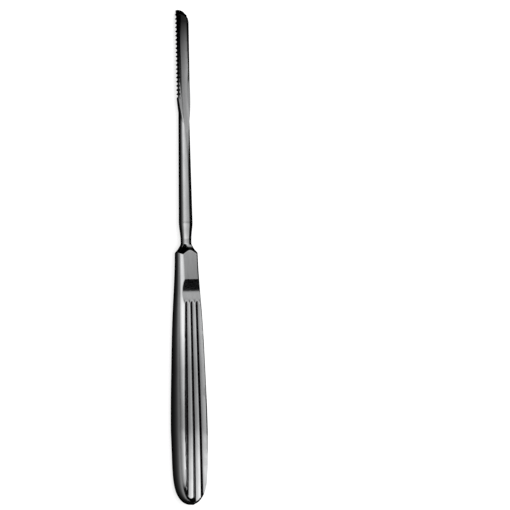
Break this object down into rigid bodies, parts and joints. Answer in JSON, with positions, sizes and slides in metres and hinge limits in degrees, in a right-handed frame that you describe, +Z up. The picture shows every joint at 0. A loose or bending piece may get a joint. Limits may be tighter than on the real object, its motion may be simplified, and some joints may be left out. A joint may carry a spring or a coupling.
{
  "type": "rasp",
  "caption": "Slender steel bone rasp with a fluted flat grip, thumb scoops, a round shank and a hollow crescent blade toothed on its convex side.",
  "frame": {"origin": "middle of the ground under the tool, at the bottom centre of its bounding box", "axes": "+Y along the tool from the butt towards the blade tip, +Z up out of the thumb face, +X across the grip"},
  "size_m": [0.0162, 0.21, 0.0099],
  "materials": {
    "steel": "satin ground and polished stainless steel, darker in the flutes and between the teeth"
  },
  "bodies": {
    "root": {"rasp": "steel"}
  },
  "joints": []
}
